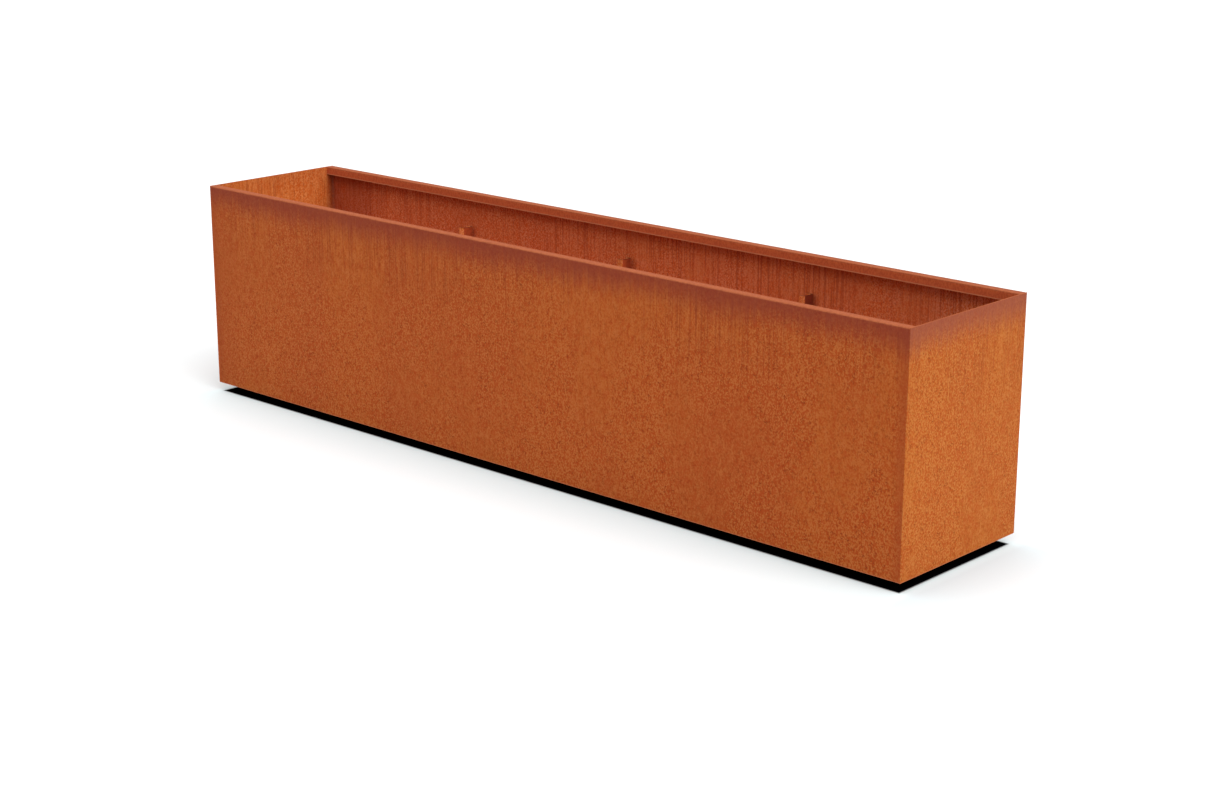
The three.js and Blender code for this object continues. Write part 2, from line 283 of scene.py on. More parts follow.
def rust(shader, middle, low_streaks=0.12):
    """Fine speckled rust with upright streaks: its colour, its height and the mottle in both."""
    ochre, red, dark = (shifted(middle, s) for s in (OCHRE_SHIFT, RED_SHIFT, DARK_SHIFT))
    mottle = shader.noise(190, stretch=(1, 1, 0.72), detail=3, roughness=0.6)
    grains = shader.noise(270, stretch=(1, 1, 0.75), shift=(3, 1, 7), detail=2, roughness=0.5)
    calm = shader.noise(5, stretch=(1, 1, 0.6), shift=(1, 9, 5), detail=2)
    hues = shader.noise(62, stretch=(1, 1, 0.6), shift=(6, 2, 3), detail=3, roughness=0.6)
    drift = shader.noise(4.2, stretch=(1, 1, 0.3), shift=(8, 2, 4), detail=2)
    tone = shader.mix(shader.between(drift, 0.34, 0.66), shifted(middle, DIM_DRIFT_SHIFT),
                      shifted(middle, PALE_DRIFT_SHIFT))
    tone = shader.mix(shader.between(hues, 0.50, 0.66, 0.0, 0.70), tone, red)
    tone = shader.mix(shader.between(hues, 0.50, 0.34, 0.0, 0.70), tone, ochre)
    lively = shader.between(calm, 0.38, 0.58, 0.50, 1.0)
    for speckle, start, stop, change in ((mottle, 0.53, 0.60, dark), (grains, 0.52, 0.58, red),
                                         (grains, 0.48, 0.42, ochre)):
        tone = shader.mix(shader.times(shader.between(speckle, start, stop), lively), tone, change)
    tone = streaked(shader, tone, shifted(dark, STREAK_SHIFT), ochre, low_streaks)
    height = shader.math("MULTIPLY_ADD", mottle, 0.6, shader.times(grains, 0.4))
    return tone, height, mottle


def streaked(shader, tone, dark, ochre, low_streaks):
    """Upright streaks in patches, which weaken to low_streaks of their strength further down."""
    streaks = shader.noise(1, stretch=(210, 210, 5.0), shift=(2, 6, 1), detail=2, roughness=0.6)
    patches = shader.noise(3.2, stretch=(1, 1, 0.6), shift=(4, 4, 9), detail=2)
    near_top = shader.between(shader.below_top(), STREAK_REACH, STREAK_START, low_streaks, 1.0)
    shown = shader.times(near_top, shader.between(patches, 0.36, 0.62, 0.30, 1.0))
    for stop, most, change in ((0.66, 0.70, dark), (0.36, 0.45, ochre)):
        streak = shader.between(streaks, 0.50, stop, 0.0, most)
        tone = shader.mix(shader.times(streak, shown), tone, change)
    return tone


def speckled(shader, mottle, tone, shift):
    """tone, shifted where the mottle is high."""
    return shader.mix(shader.between(mottle, 0.4, 0.62), tone, shifted(tone, shift))


def dull(shader, rusted, smoothest, roughest, strength=0.35, specular=0.18):
    """Finishes a rusted surface, which is finely bumpy and has little shine."""
    tone, height, mottle = rusted
    shader.bump(height, RUST_HEIGHT, strength)
    return shader.finish(tone, shader.between(mottle, 0.3, 0.7, smoothest, roughest), specular)


def top_band(shader, tone, mauve, most=0.88):
    """The mauve band along the top, which fades downwards in fine drips."""
    sweep = shader.noise(1, stretch=(5, 9, 0.3), shift=(7, 3, 2), detail=2)
    drips = shader.noise(1, stretch=(120, 120, 3.5), shift=(1, 8, 5), detail=2, roughness=0.6)
    grains = shader.noise(200, stretch=(1, 1, 0.7), shift=(9, 4, 1), detail=2)
    depth = shader.below_top()
    for ragged, most_off in ((sweep, SWEEP_DEPTH), (drips, DRIP_DEPTH)):
        depth = shader.math("ADD", depth, shader.between(ragged, 0.30, 0.70, most_off, -most_off))
    band = shader.between(depth, BAND_REACH, BAND_START, 0.0, most)
    return shader.mix(shader.times(band, shader.between(grains, 0.35, 0.65, 0.86, 1.0)), tone, mauve)


def corner_tint(shader, tone, dark):
    """Redder upright strips on the long walls' welded ends, and a wider, softer one at the left."""
    x = shader.axes()[0]
    away = shader.less(HALF_LENGTH, shader.math("ABSOLUTE", x))
    ragged = shader.noise(18, stretch=(1, 1, 0.5), shift=(5, 5, 1), detail=3)
    away = shader.math("MULTIPLY_ADD", ragged, -CORNER_RAGGED, away)
    tone = shader.mix(shader.between(away, CORNER_REACH, CORNER_START, 0.0, 0.50), tone, dark)
    left = shader.between(x, -HALF_LENGTH + LEFT_REACH, -HALF_LENGTH + LEFT_START, 0.0, 0.35)
    return shader.mix(left, tone, dark)


def painted_rim_shadow(shader, tone):
    """Painted shadow: darker upright strips on the insides of the end walls, below the ends of the rims.
    """
    depth = shader.below_top()
    lip = HALF_DEPTH - RIM_WIDTH
    off = shader.math("ABSOLUTE", shader.axes()[1])
    across = shader.math("MULTIPLY_ADD", depth, RIM_SHADE_SLANT, off)
    strip = shader.times(shader.between(across, lip - RIM_SHADE_BEFORE, lip + RIM_SHADE_PAST),
                         shader.between(across, lip, HALF_DEPTH, 0.35, 0.75),
                         shader.between(depth, RIM_SHADE_REACH, RIM_SHADE_START))
    return shader.shade(strip, tone, RIM_SHADOW_SHIFT)


def painted_bottom_highlight(shader, tone):
    """The lowest few millimetres, with a painted highlight."""
    above = shader.less(shader.axes()[2], GROUND_GAP)
    return shader.mix(shader.between(above, BOTTOM_HIGHLIGHT_FROM, BOTTOM_HIGHLIGHT_TO, 0.0, 0.55), tone, EDGE_HIGHLIGHT)


def inside(shader, tone, inner, reach, half):
    """inner where a face looks into the box, which is where the axis named by reach is short of half."""
    off = shader.math("ABSOLUTE", shader.axes()[reach])
    return shader.mix(shader.between(off, half - SHEET * 0.4, half - SHEET * 0.6), tone, inner)


def from_post(shader):
    """How far a point lies to the right of the back of the nearest post."""
    x = shader.axes()[0]
    nearest = shader.times(shader.math("ROUND", shader.math("DIVIDE", x, POST_PITCH)), POST_PITCH)
    return shader.less(shader.less(x, nearest), POST_BACK_X)


def painted_post_shadow(shader):
    """How much painted shadow lies on the wall just right of each post: most at its back, 0 a finger's
    width off.
    """
    x, _, z = shader.axes()
    off = from_post(shader)
    strip = shader.times(shader.between(off, -POST_SHADE_SOFT, POST_SHADE_SOFT),
                         shader.between(off, POST_SHADE_REACH, 0.0, 0.0, 0.75))
    below = shader.between(z, POST_TOP + POST_SHADE_ABOVE, POST_TOP - POST_SHADE_BELOW)
    in_span = shader.between(shader.math("ABSOLUTE", x), POST_PITCH * 1.4, POST_PITCH * 1.3)
    return shader.times(strip, shader.times(below, in_span))


def long_wall_inside(shader):
    """Rust made darker by painted shade towards the left end and beside the posts, and paler by painted
    light at the right.
    """
    x = shader.axes()[0]
    tone = rust(shader, INNER_RUST_TONE, low_streaks=0.4)[0]
    tone = shader.shade(shader.between(x, INNER_LEFT_SHADE_FROM, INNER_LEFT_SHADE_TO), tone, INNER_LEFT_SHADE_SHIFT)
    tone = shader.shade(shader.between(x, INNER_RIGHT_LIGHT_FROM, INNER_RIGHT_LIGHT_TO), tone, INNER_RIGHT_LIGHT_SHIFT)
    return shader.shade(painted_post_shadow(shader), tone, POST_SHADOW_SHIFT)


def lip_over(shader, tone, mottle):
    """Lays the tone of the rim's lip, with a painted highlight along its hem, over tone where the lip
    is.
    """
    _, y, z = shader.axes()
    lip = speckled(shader, mottle, RIM_LIP_TONE, RIM_LIP_SHIFT)
    lip_end = TOP - RIM_LIP
    lip = shader.mix(shader.between(z, lip_end + HEM_HIGHLIGHT_FROM, lip_end + HEM_HIGHLIGHT_TO), lip, EDGE_HIGHLIGHT)
    lip_y = HALF_DEPTH - RIM_WIDTH + SHEET * 1.5
    on_lip = shader.times(shader.between(shader.math("ABSOLUTE", y), lip_y + LIP_FACE_SOFT,
                                         lip_y - LIP_FACE_SOFT),
                          shader.between(z, TOP - 2 * RIM_LIP, TOP - 1.5 * RIM_LIP))
    return shader.mix(on_lip, tone, lip)


def rim_over(shader, tone, mottle):
    """Lays the tone of the rim's top, which is darker at the rear, over tone where the rim is."""
    _, y, z = shader.axes()
    rim = speckled(shader, mottle, RIM_TOP_TONE, RIM_TOP_SHIFT)
    rim = shader.shade(shader.between(y, REAR_RIM_FROM, REAR_RIM_TO), rim, REAR_RIM_SHIFT)
    return shader.mix(shader.between(z, TOP - RIM_TOP_FROM, TOP - RIM_TOP_TO), tone, rim)


def long_panel_steel():
    """Faces looking outwards, the inside, the rim's top and its lip each have their own tone."""
    shader = Shader("long_panel_rust_and_painted_light")
    outer, height, mottle = rust(shader, LONG_RUST)
    outer = corner_tint(shader, outer, shifted(LONG_RUST, CORNER_SHIFT))
    outer = top_band(shader, outer, LONG_MAUVE)
    tone = inside(shader, outer, long_wall_inside(shader), 1, HALF_DEPTH)
    tone = rim_over(shader, lip_over(shader, tone, mottle), mottle)
    return dull(shader, (painted_bottom_highlight(shader, tone), height, mottle), 0.74, 0.92)


def end_panel_steel():
    """Faces looking outwards, the inside and the raw top edge each have their own tone."""
    shader = Shader("end_panel_rust_and_painted_light")
    z = shader.axes()[2]
    outer, height, mottle = rust(shader, END_RUST)
    outer = top_band(shader, outer, END_MAUVE)
    inner = top_band(shader, rust(shader, INNER_END_RUST)[0], LONG_MAUVE, 0.22)
    tone = inside(shader, outer, painted_rim_shadow(shader, inner), 0, HALF_LENGTH)
    tone = shader.mix(shader.between(z, TOP - RAW_TOP_FROM, TOP - RAW_TOP_TO), tone, RIM_TOP_TONE)
    return dull(shader, (painted_bottom_highlight(shader, tone), height, mottle), 0.74, 0.92)


def plain_steel(name, middle, strength=0.35, specular=0.18):
    """The same rust all over."""
    shader = Shader(name)
    return dull(shader, rust(shader, middle), 0.78, 0.94, strength, specular)


def post_steel():
    """Posts rust bright on their flanges; painted shade darkens their backs, most of all by the wall."""
    shader = Shader("post_rust_and_painted_light")
    tone, height, mottle = rust(shader, POST_RUST)
    x, y, z = shader.axes()
    # Painted shade on the posts' backs, deepest by the wall and on the posts further right
    off_wall = shader.less(WALL_INNER_Y, shader.math("ABSOLUTE", y))
    off_wall = shader.less(off_wall, shader.between(x, 0.0, POST_PITCH, 0.0, POST_REACH * 0.45))
    wall_shade = shader.between(off_wall, POST_REACH * 0.85, POST_REACH * 0.40)
    darker = shader.times(wall_shade, shader.between(x, -POST_PITCH, POST_PITCH, 0.05, 0.80))
    back = shader.mix(darker, POST_BACK_SHADE, POST_BACK_DEEP_SHADE)
    back = shader.mix(shader.between(mottle, 0.45, 0.65, 0.0, 0.35), back, POST_BACK_DEEP_SHADE)
    # Painted light on the left posts, painted shade on the right ones
    tone = shader.shade(shader.between(x, 0.0, -POST_PITCH), tone, LEFT_POST_LIGHT_SHIFT)
    tone = shader.shade(shader.between(x, 0.0, POST_PITCH), tone, RIGHT_POST_SHADE_SHIFT)
    on_back = shader.between(from_post(shader), -SHEET * 0.7, -SHEET * 0.3)
    tone = shader.mix(on_back, tone, back)
    top_edge = shader.between(z, POST_TOP - RAW_TOP_FROM, POST_TOP - RAW_TOP_TO)
    tone = shader.shade(top_edge, tone, POST_TOP_SHIFT)
    return dull(shader, (tone, height, mottle), 0.78, 0.94)


def weld_steel():
    """Weld metal rusts darker than the sheet, and is darkest below the rims, where shade is painted on.
    """
    shader = Shader("weld_rust_and_painted_shade")
    scale = shader.noise(160, detail=4)
    patches = shader.noise(25, shift=(2, 3, 4), detail=2)
    tone = shader.mix(shader.between(scale, 0.35, 0.65), WELD_DIM, WELD_PALE)
    tone = shader.mix(shader.between(patches, 0.45, 0.65, 0.0, 0.5), tone, WELD_SCALE)
    # Painted shadow on the welds below the rims
    rim_shadow_on_welds = shader.between(shader.below_top(), RIM_SHADE_REACH, RIM_SHADE_START, 0.0, 0.60)
    tone = shader.shade(rim_shadow_on_welds, tone, RIM_SHADOW_SHIFT)
    shader.bump(scale, WELD_HEIGHT, 0.4)
    return shader.finish(tone, shader.between(scale, 0.3, 0.7, 0.55, 0.85), specular=0.3)


def fastener_steel():
    """Dull zinc plate with rusty grime, which is rougher and hides the metal."""
    shader = Shader("zinc_plate")
    clouds = shader.noise(260, detail=3)
    grime = shader.noise(120, shift=(3, 1, 2), detail=3)
    tone = shader.mix(shader.between(clouds, 0.35, 0.65), ZINC_DIM, ZINC_PALE)
    tone = shader.mix(shader.between(grime, 0.52, 0.70, 0.0, 0.7), tone, ZINC_GRIME)
    shader.bump(clouds, ZINC_HEIGHT, 0.3)
    return shader.finish(tone, shader.between(grime, 0.45, 0.70, 0.32, 0.80),
                         metallic=shader.between(grime, 0.52, 0.70, 0.9, 0.1))


LONG_PANEL_RUST_AND_LIGHT = long_panel_steel()
END_PANEL_RUST_AND_LIGHT = end_panel_steel()
INNER_RUST = plain_steel("inner_rust", INNER_RUST_TONE)
POST_SURFACE = post_steel()
WELD_RUST_AND_SHADE = weld_steel()
RAIL_RUST = plain_steel("rail_rust", RAIL_RUST_TONE, strength=0.4, specular=0.2)
ZINC = fastener_steel()


# ---------------------------------------------------------------- mesh helpers

def mesh_of(name, bm):
    """Turns bm into a mesh with its faces pointing out."""
    bmesh.ops.recalc_face_normals(bm, faces=bm.faces)
    mesh = bpy.data.meshes.new(name)
    bm.to_mesh(mesh)
    bm.free()
    return mesh


def middle_of(node):
    """The x, y and z of the middle of a node's box."""
    return [(a + b) / 2 for a, b in zip(*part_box(node))]


def join_rings(bm, rings):
    """Adds a row of quads between each closed ring of vertices and the next."""
    size = len(rings[0])
    for one, other in zip(rings, rings[1:]):
        for i in range(size):
            j = (i + 1) % size
            bm.faces.new((one[i], one[j], other[j], other[i]))


def cut(mesh, cutters):
    """mesh less each of the closed meshes in cutters."""
    whole = bpy.data.objects.new("cut_block", mesh)
    bpy.context.scene.collection.objects.link(whole)
    tools = []
    for index, cutter in enumerate(cutters):
        tool = bpy.data.objects.new(f"cut_tool_{index}", cutter)
        bpy.context.scene.collection.objects.link(tool)
        step = whole.modifiers.new(f"cut_{index}", "BOOLEAN")
        step.operation = "DIFFERENCE"
        step.solver = "EXACT"
        step.object = tool
        tools.append(tool)
    depsgraph = bpy.context.evaluated_depsgraph_get()
    made = bpy.data.meshes.new_from_object(whole.evaluated_get(depsgraph), depsgraph=depsgraph)
    for thing in [whole, *tools]:
        bpy.data.objects.remove(thing)
    return made


def piece(name, mesh, material, replaces=()):
    """Adds mesh as a smooth-shaded piece with crisp edges that rides on the one CAD body."""
    mesh.name = name
    mesh.materials.clear()
    mesh.materials.append(material)
    mesh.shade_smooth()
    mesh.set_sharp_from_angle(angle=SMOOTH_ANGLE)
    made = bpy.data.objects.new(name, mesh)
    bpy.context.scene.collection.objects.link(made)
    normals = made.modifiers.new("flat_faces_stay_flat", "WEIGHTED_NORMAL")
    normals.keep_sharp = True
    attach(made, "root")
    if replaces:
        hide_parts(*replaces)


def rod(radius, start, end):
    """A closed round rod, as a cutter for a hole."""
    bm = bmesh.new()
    along = Vector(end) - Vector(start)
    turn = Vector((0, 0, 1)).rotation_difference(along).to_matrix().to_4x4()
    bmesh.ops.create_cone(bm, cap_ends=True, segments=HOLE_STEPS, radius1=radius, radius2=radius,
                          depth=along.length, matrix=turn)
    bmesh.ops.translate(bm, verts=bm.verts, vec=(Vector(start) + Vector(end)) / 2)
    return mesh_of("rod", bm)


def block(corner_a, corner_b):
    """A closed box, as a cutter for a notch."""
    bm = bmesh.new()
    bmesh.ops.create_cube(bm, size=1)
    size = [abs(a - b) for a, b in zip(corner_a, corner_b)]
    middle = [(a + b) / 2 for a, b in zip(corner_a, corner_b)]
    bmesh.ops.scale(bm, verts=bm.verts, vec=size)
    bmesh.ops.translate(bm, verts=bm.verts, vec=middle)
    return mesh_of("block", bm)


# ---------------------------------------------------------------- folded sheet

# A rounded edge is drawn as two short facets. Their shared point keeps this share of the radius
FACET_SHARE = 1 - math.sqrt(0.5)


def middle_line(corners, bend_radius):
    """Points and left normals along a line of straight runs joined by round bends."""
    corners = [Vector(c) for c in corners]

    def left(run):
        return Vector((-run.y, run.x)).normalized()

    points, normals = [corners[0]], [left(corners[1] - corners[0])]
    for before, corner, after in zip(corners, corners[1:], corners[2:]):
        arriving, leaving = (corner - before).normalized(), (after - corner).normalized()
        turn = 1 if arriving.cross(leaving) > 0 else -1
        angle = arriving.angle(leaving)
        start = corner - arriving * bend_radius * math.tan(angle / 2)
        centre = start + left(arriving) * turn * bend_radius
        for i in range(BEND_STEPS + 1):
            swing = Matrix.Rotation(turn * angle * i / BEND_STEPS, 2)
            normal = swing @ left(arriving)
            points.append(centre - normal * turn * bend_radius)
            normals.append(normal)
    points.append(corners[-1])
    normals.append(left(corners[-1] - corners[-2]))
    return points, normals


def sheet_outline(points, normals, thickness, edge_round, shrink):
    """The closed outline of the sheet, drawn in by shrink, with rounded raw edges."""
    half = thickness / 2 - shrink
    soft = max(edge_round - shrink, LEAST_ROUND)
    facet = soft * FACET_SHARE
    start = (points[1] - points[0]).normalized()
    end = (points[-1] - points[-2]).normalized()
    first, last = points[0] + start * shrink, points[-1] - end * shrink

    def one_side(sign):
        line = [first + normals[0] * sign * (half - soft),
                first + start * facet + normals[0] * sign * (half - facet),
                first + start * soft + normals[0] * sign * half]
        line += [p + n * sign * half for p, n in zip(points[1:-1], normals[1:-1])]
        line += [last - end * soft + normals[-1] * sign * half,
                 last - end * facet + normals[-1] * sign * (half - facet),
                 last + normals[-1] * sign * (half - soft)]
        return line

    return one_side(1) + one_side(-1)[::-1]


def rounding(edge_round):
    """Steps into a rounded edge, each as a distance from its end and how far the outline is drawn in."""
    facet = edge_round * FACET_SHARE
    return [(0.0, edge_round), (facet, facet), (edge_round, 0.0)]


def stations(start, end, edge_round):
    """Places along a sweep, each with how far the outline is drawn in there."""
    count = max(1, round((end - start) / SWEEP_SPACING))
    inner_start, inner_end = start + edge_round, end - edge_round
    between = [(inner_start + (inner_end - inner_start) * i / count, 0.0) for i in range(1, count)]
    return ([(start + d, s) for d, s in rounding(edge_round)] + between
            + [(end - d, s) for d, s in reversed(rounding(edge_round))])


def folded_sheet(name, corners, place, start, end, thickness=SHEET, bend=BEND_RADIUS,
                 edge_round=EDGE_ROUND):
    """A sheet bent along corners and pushed from start to end. place turns (a, b, along) to a point."""
    points, normals = middle_line(corners, bend + thickness / 2)
    bm = bmesh.new()
    rings = []
    for along, shrink in stations(start, end, edge_round):
        outline = sheet_outline(points, normals, thickness, edge_round, shrink)
        rings.append([bm.verts.new(place(p.x, p.y, along)) for p in outline])
    join_rings(bm, rings)
    size = len(rings[0])
    for ring in (rings[0], rings[-1]):
        for i in range(size // 2 - 1):
            bm.faces.new((ring[i], ring[i + 1], ring[size - 2 - i], ring[size - 1 - i]))
    return mesh_of(name, bm)


# ---------------------------------------------------------------- flat plates

def circle(x, y, radius, steps=HOLE_STEPS):
    """A hole's outline, wider by whatever it is drawn in."""
    def outline(shrink):
        wide = radius + shrink
        turns = [2 * math.pi * i / steps for i in range(steps)]
        return [(x + wide * math.cos(t), y + wide * math.sin(t)) for t in turns]
    return outline


def rectangle(half_a, half_b, corner):
    """A rectangle's outline with small round corners."""
    def outline(shrink):
        a, b, soft = half_a - shrink, half_b - shrink, corner - shrink
        points = []
        for quarter, (sa, sb) in enumerate(((1, 1), (-1, 1), (-1, -1), (1, -1))):
            for i in range(CORNER_STEPS + 1):
                turn = (quarter + i / CORNER_STEPS) * math.pi / 2
                points.append((sa * (a - soft) + soft * math.cos(turn),
                               sb * (b - soft) + soft * math.sin(turn)))
        return points
    return outline


def bar_with_round_ends(half_reach, radius):
    """The outline of a bar, with half circles about its two ends at half_reach."""
    steps = HOLE_STEPS // 2

    def outline(shrink):
        wide = radius - shrink
        points = []
        for side in (1, -1):
            for i in range(steps + 1):
                turn = (i / steps - 0.5) * math.pi
                points.append((side * (half_reach + wide * math.cos(turn)),
                               side * wide * math.sin(turn)))
        return points
    return outline


def plate(name, loops, thickness, edge_round, place):
    """A flat plate with holes and rounded edges. place turns (a, b, height) to a point."""
    half = thickness / 2
    levels = ([(-half + d, s) for d, s in rounding(edge_round)]
              + [(half - d, s) for d, s in reversed(rounding(edge_round))])
    bm = bmesh.new()
    low_edges, high_edges = [], []
    for outline in loops:
        rings = [[bm.verts.new(place(a, b, height)) for a, b in outline(shrink)]
                 for height, shrink in levels]
        join_rings(bm, rings)
        for ring, edges in ((rings[0], low_edges), (rings[-1], high_edges)):
            edges += [bm.edges.get(pair) for pair in zip(ring, ring[1:] + ring[:1])]
    for edges in (low_edges, high_edges):
        bmesh.ops.triangle_fill(bm, use_beauty=True, edges=edges)
    return mesh_of(name, bm)


# ---------------------------------------------------------------- weld beads

# A bead's own shape: how slim its ends get, how its ripples stand and bow, how flat it is, and the
# height, rate and lag of each slow wave in its width
END_TAPER = 0.2
RIPPLE_HEIGHT = 0.07
RIPPLE_BOW = 1.6
FLATNESS = 0.30
WAVES = ((0.05, 310, 1), (0.03, 97, 2))
LEAST_ROWS = 8


def bead_width(t, length, leg, phase):
    """How wide a bead is a distance t along it: tapered at both ends, and wandering slowly between."""
    to_end = min(1.0, min(t, length - t) / leg)
    taper = math.sqrt(max(0.0, 1 - (1 - to_end) ** 2)) * (1 - END_TAPER) + END_TAPER
    wander = 1 + sum(height * math.sin(t * rate + lag * phase) for height, rate, lag in WAVES)
    return leg * taper * wander


def bead_bulge(t, turn):
    """How far a bead stands out at an angle, against its width: a flat fillet with crescent ripples."""
    crescent = math.cos(2 * turn - math.pi / 2)
    wave = math.sin(2 * math.pi * t / RIPPLE_PITCH + RIPPLE_BOW * crescent)
    ripple = 1 + RIPPLE_HEIGHT * crescent * wave
    return ripple * (FLATNESS + (1 - FLATNESS) / (math.cos(turn) + math.sin(turn)))


def bead(bm, start, end, side_a, side_b, leg, phase=0.0):
    """Adds a rippled fillet bead in the corner where surfaces run along side_a and side_b."""
    start, end = Vector(start), Vector(end)
    side_a, side_b = Vector(side_a), Vector(side_b)
    length = (end - start).length
    rows = max(LEAST_ROWS, round(length / (RIPPLE_PITCH / STEPS_PER_RIPPLE)))
    turns = [math.pi / 2 * i / BEAD_STEPS for i in range(BEAD_STEPS + 1)]
    rings = []
    for row in range(rows + 1):
        t = length * row / rows
        root = start.lerp(end, row / rows)
        width = bead_width(t, length, leg, phase)
        ring = [bm.verts.new(root)]
        for turn in turns:
            reach = width * bead_bulge(t, turn)
            ring.append(bm.verts.new(root + reach * (side_a * math.cos(turn)
                                                     + side_b * math.sin(turn))))
        rings.append(ring)
    join_rings(bm, rings)
    bm.faces.new(rings[0])
    bm.faces.new(rings[-1])


def corner_beads():
    """One long bead up each inside corner."""
    for side, sy in SIDES.items():
        for end, sx in ENDS.items():
            node = f"corner_weld_{side}_{end}"
            lowest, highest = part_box(node)
            bm = bmesh.new()
            bead(bm, (sx * END_INNER_X, sy * WALL_INNER_Y, lowest.z),
                 (sx * END_INNER_X, sy * WALL_INNER_Y, highest.z),
                 (-sx, 0, 0), (0, -sy, 0), CORNER_WELD_LEG, phase=sx + 2 * sy)
            piece(f"{node}_bead", mesh_of(node, bm), WELD_RUST_AND_SHADE, [node])


def spread(low_end, high_end, count):
    """count places spread evenly between two ends."""
    return [low_end + (high_end - low_end) * (i + 0.5) / count for i in range(count)]


def post_stitches():
    """Short beads that hold each post to its wall, on both sides."""
    half = STITCH_LENGTH / 2
    for side, sy in SIDES.items():
        for place in PLACES:
            lowest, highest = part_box(f"post_{side}_{place}")
            wall = sy * WALL_INNER_Y
            bm = bmesh.new()
            for z in spread(lowest.z, highest.z, POST_STITCHES):
                for x, away in ((lowest.x, -1), (highest.x - 2 * BEND_RADIUS, 1)):
                    bead(bm, (x, wall, z - half), (x, wall, z + half),
                         (away, 0, 0), (0, -sy, 0), STITCH_LEG, phase=z * 9 + x)
            name = f"post_welds_{side}_{place}"
            piece(name, mesh_of(name, bm), WELD_RUST_AND_SHADE)


def floor_stitches():
    """Short beads that hold the floor to the four walls."""
    level = FLOOR_HIGH.z
    half = STITCH_LENGTH / 2
    for side, sy in SIDES.items():
        bm = bmesh.new()
        for x in spread(-END_INNER_X, END_INNER_X, LONG_FLOOR_STITCHES):
            bead(bm, (x - half, sy * WALL_INNER_Y, level), (x + half, sy * WALL_INNER_Y, level),
                 (0, -sy, 0), (0, 0, 1), STITCH_LEG, phase=x * 7)
        name = f"floor_welds_{side}"
        piece(name, mesh_of(name, bm), WELD_RUST_AND_SHADE)
    for end, sx in ENDS.items():
        bm = bmesh.new()
        for y in spread(-WALL_INNER_Y, WALL_INNER_Y, END_FLOOR_STITCHES):
            bead(bm, (sx * END_INNER_X, y - half, level), (sx * END_INNER_X, y + half, level),
                 (-sx, 0, 0), (0, 0, 1), STITCH_LEG, phase=y * 7)
        name = f"floor_welds_{end}"
        piece(name, mesh_of(name, bm), WELD_RUST_AND_SHADE)


# ---------------------------------------------------------------- shell

def long_panels():
    """A tall face with a base flange, and a rim turned inwards with a short lip."""
    for side, sign in SIDES.items():
        node = f"{side}_panel"
        lowest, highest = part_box(node)
        inner_y = min(abs(lowest.y), abs(highest.y))
        face, lip = HALF_DEPTH - SHEET / 2, HALF_DEPTH - RIM_WIDTH + SHEET / 2
        base, rim = GROUND_GAP + SHEET / 2, TOP - SHEET / 2
        corners = [(sign * inner_y, base), (sign * face, base), (sign * face, rim),
                   (sign * lip, rim), (sign * lip, TOP - RIM_LIP)]
        end = END_INNER_X - SEAM_GAP
        mesh = folded_sheet(node, corners, lambda a, b, along: (along, a, b), -end, end)
        piece(f"{node}_sheet", mesh, LONG_PANEL_RUST_AND_LIGHT, [node])


def end_panels():
    """A plain face with a base flange, which is notched to fit between the long panels' flanges."""
    for end, sign in ENDS.items():
        node = f"{end}_end_panel"
        face, base = HALF_LENGTH - SHEET / 2, GROUND_GAP + SHEET / 2
        corners = [(sign * (HALF_LENGTH - BASE_FLANGE), base), (sign * face, base),
                   (sign * face, TOP)]
        mesh = folded_sheet(node, corners, lambda a, b, along: (a, along, b),
                            -HALF_DEPTH, HALF_DEPTH)
        notch = BASE_FLANGE + FLANGE_RELIEF
        notches = [block((sign * END_INNER_X, sy * (HALF_DEPTH + notch), 0),
                         (sign * (END_INNER_X - 2 * BASE_FLANGE), sy * (HALF_DEPTH - notch),
                          GROUND_GAP + BASE_FLANGE / 2)) for sy in SIDES.values()]
        piece(f"{node}_sheet", cut(mesh, notches), END_PANEL_RUST_AND_LIGHT, [node])


def floor():
    """A plate with a bolt hole over each rail end, and eight drains."""
    level = (FLOOR_LOW.z + FLOOR_HIGH.z) / 2
    loops = [rectangle(FLOOR_HIGH.x, FLOOR_HIGH.y, FLOOR_CORNER)]
    for sign in SIDES.values():
        for index, x in enumerate(RAIL_XS):
            bolt_y = abs(middle_of(f"rail_bolt_front_{index + 1}")[1])
            loops.append(circle(x, sign * bolt_y, BOLT_HOLE_RADIUS, HOLE_STEPS // 2))
        for x in BAY_XS:
            loops.append(circle(x, sign * DRAIN_ROW_Y, DRAIN_RADIUS))
    mesh = plate("floor_panel", loops, SHEET, EDGE_ROUND, lambda a, b, h: (a, b, level + h))
    piece("floor_panel_sheet", mesh, INNER_RUST, ["floor_panel"])


# ---------------------------------------------------------------- posts, ties and rails

def posts():
    """Channels open to the left, with one flange on the wall and a bolt hole in the web."""
    for side, sign in SIDES.items():
        for place in PLACES:
            node = f"post_{side}_{place}"
            lowest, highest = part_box(node)
            reach = sorted((lowest.y, highest.y), key=abs)
            near, far = reach[0] + sign * SHEET / 2, reach[1] - sign * SHEET / 2
            web = highest.x - SHEET / 2
            corners = [(lowest.x, far), (web, far), (web, near), (lowest.x, near)]
            mesh = folded_sheet(node, corners, lambda a, b, along: (a, b, along),
                                lowest.z, highest.z)
            _, bolt_y, bolt_z = middle_of(f"tie_bolt_{side}_{place}")
            drill = rod(BOLT_HOLE_RADIUS, (web - 2 * SHEET, bolt_y, bolt_z),
                        (web + 2 * SHEET, bolt_y, bolt_z))
            piece(f"{node}_channel", cut(mesh, [drill]), POST_SURFACE, [node])


